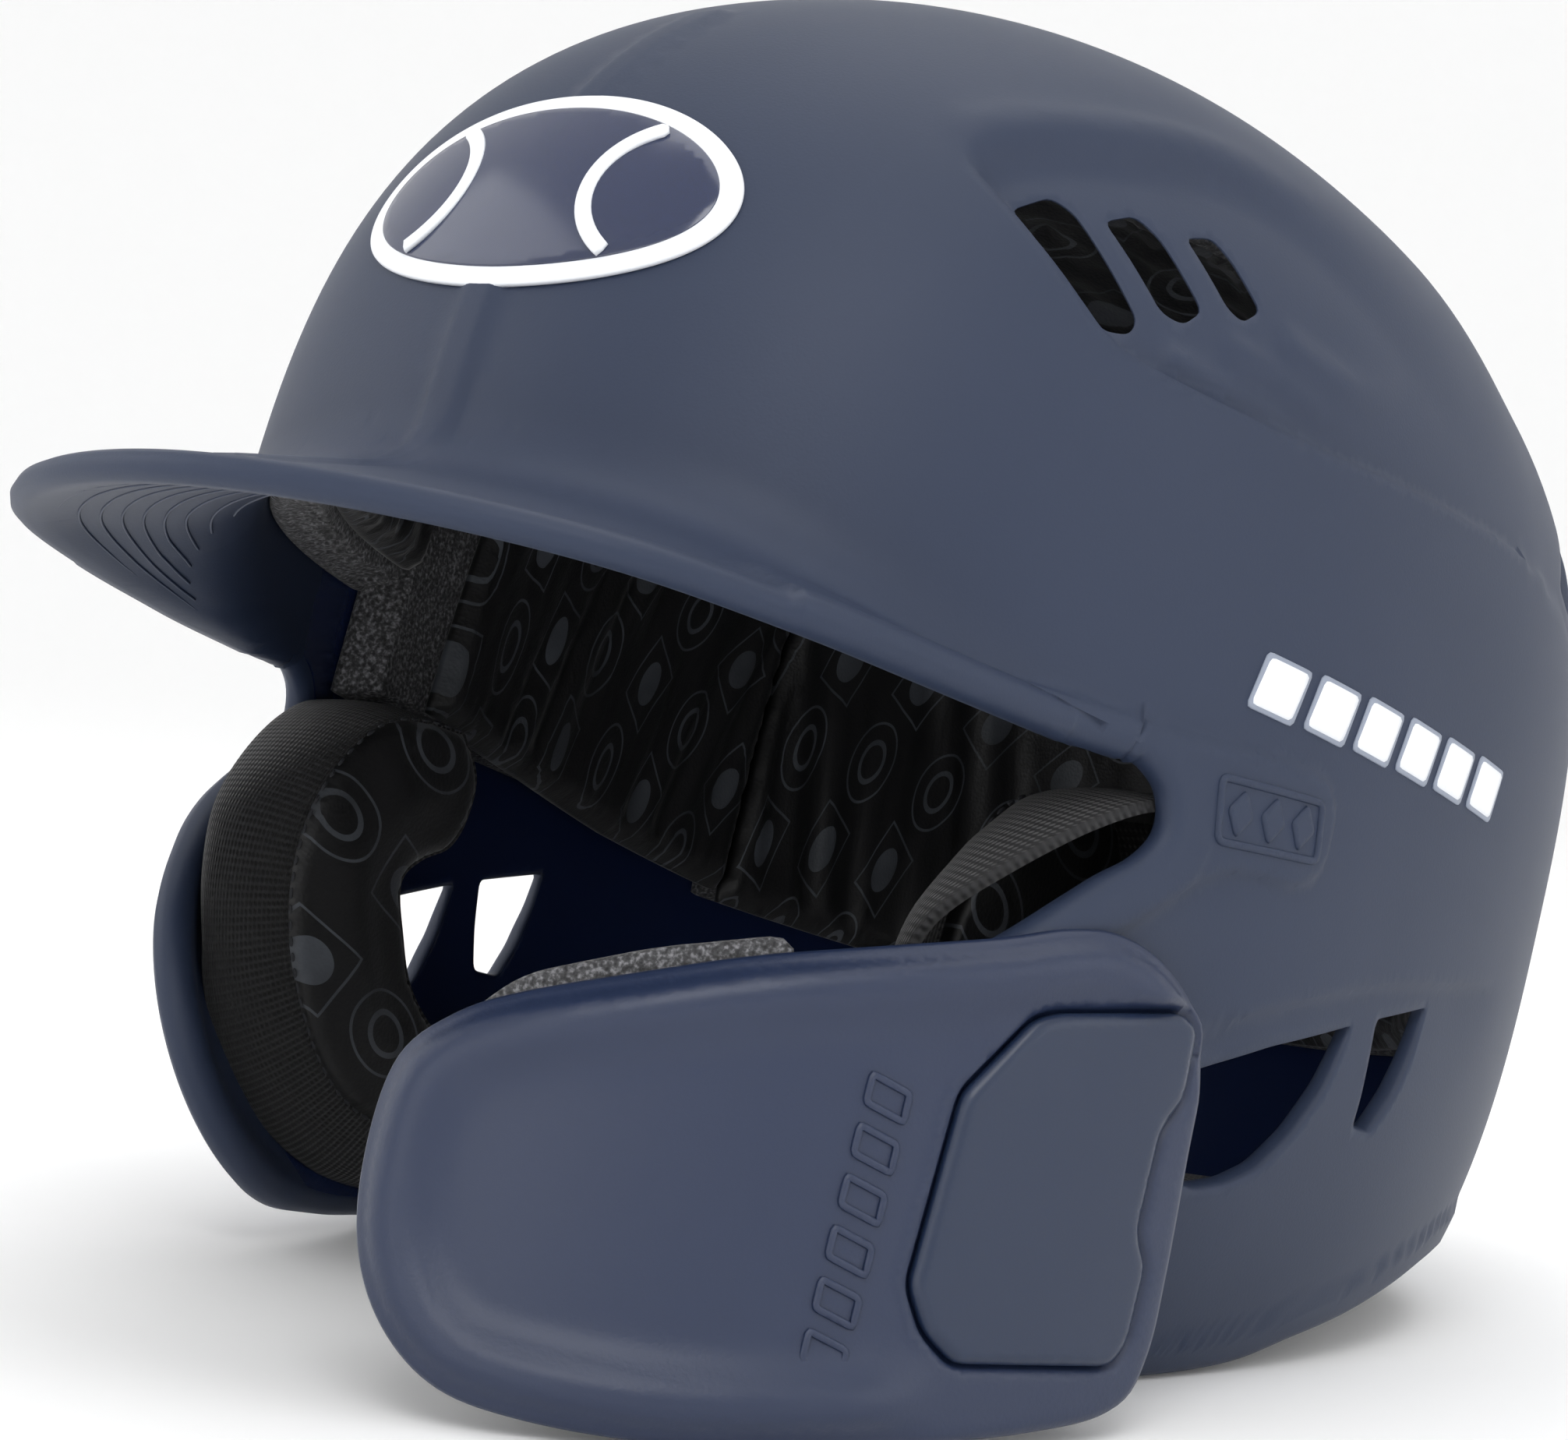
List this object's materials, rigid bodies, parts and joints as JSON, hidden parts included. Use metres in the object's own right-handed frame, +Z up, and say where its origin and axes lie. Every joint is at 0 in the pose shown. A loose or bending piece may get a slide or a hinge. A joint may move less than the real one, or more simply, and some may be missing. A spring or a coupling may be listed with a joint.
{
  "type": "batting helmet",
  "caption": "Hard-shell baseball batting helmet with a short brim, ear flaps, foam and fabric liner, and a removable bolt-on jaw guard over the wearer's left cheek.",
  "frame": {"origin": "on the helmet's mirror plane, under the middle of the standing helmet's box, at the level of the surface it stands on", "axes": "+Z up, -Y out of the face opening along the brim, +X to the wearer's left; the helmet leans back 15 degrees onto its rear rim and ear flaps, as it stands on a shelf"},
  "size_m": [0.2068, 0.3227, 0.2205],
  "materials": {
    "shell": "matte moulded, soft-touch paint",
    "guard_plastic": "satin injection moulded",
    "impact_foam": "open grey foam with a speckle",
    "pad_fabric": "black printed tricot over foam",
    "knit_band": "black ribbed knit",
    "badge_face": "glossy domed vinyl",
    "decal_white": "satin white vinyl",
    "insert_metal": "turned",
    "screw_steel": "zinc plated",
    "grommet_rubber": "moulded"
  },
  "bodies": {
    "helmet": {"outer_shell": "shell", "guard_inserts_left": "insert_metal", "spare_inserts_right": "insert_metal", "base_foam_front": "impact_foam", "base_foam_left": "impact_foam", "base_foam_right": "impact_foam", "base_foam_rear": "impact_foam", "base_foam_crown": "impact_foam", "comfort_pad_front": "pad_fabric", "comfort_pad_left": "pad_fabric", "comfort_pad_right": "pad_fabric", "comfort_pad_rear": "pad_fabric", "comfort_pad_crown": "pad_fabric", "ear_pad_left": "pad_fabric", "ear_pad_right": "pad_fabric", "ear_pad_band_left": "knit_band", "ear_pad_band_right": "knit_band", "brow_badge": "badge_face", "brow_badge_ring": "decal_white", "side_blocks_left": "decal_white", "side_blocks_right": "decal_white"},
    "guard": {"jaw_guard": "guard_plastic", "jaw_guard_foam": "impact_foam", "guard_screws": "screw_steel", "guard_washers": "screw_steel", "guard_grommets": "grommet_rubber"},
    "cover": {"guard_cover": "guard_plastic"}
  },
  "joints": [
    {"name": "guard_release", "type": "slide", "parent": "helmet", "child": "guard", "axis": [1, 0, 0], "range_m": [0, 0.05]},
    {"name": "cover_release", "type": "slide", "parent": "guard", "child": "cover", "axis": [1, 0, 0], "range_m": [0, 0.025]}
  ]
}
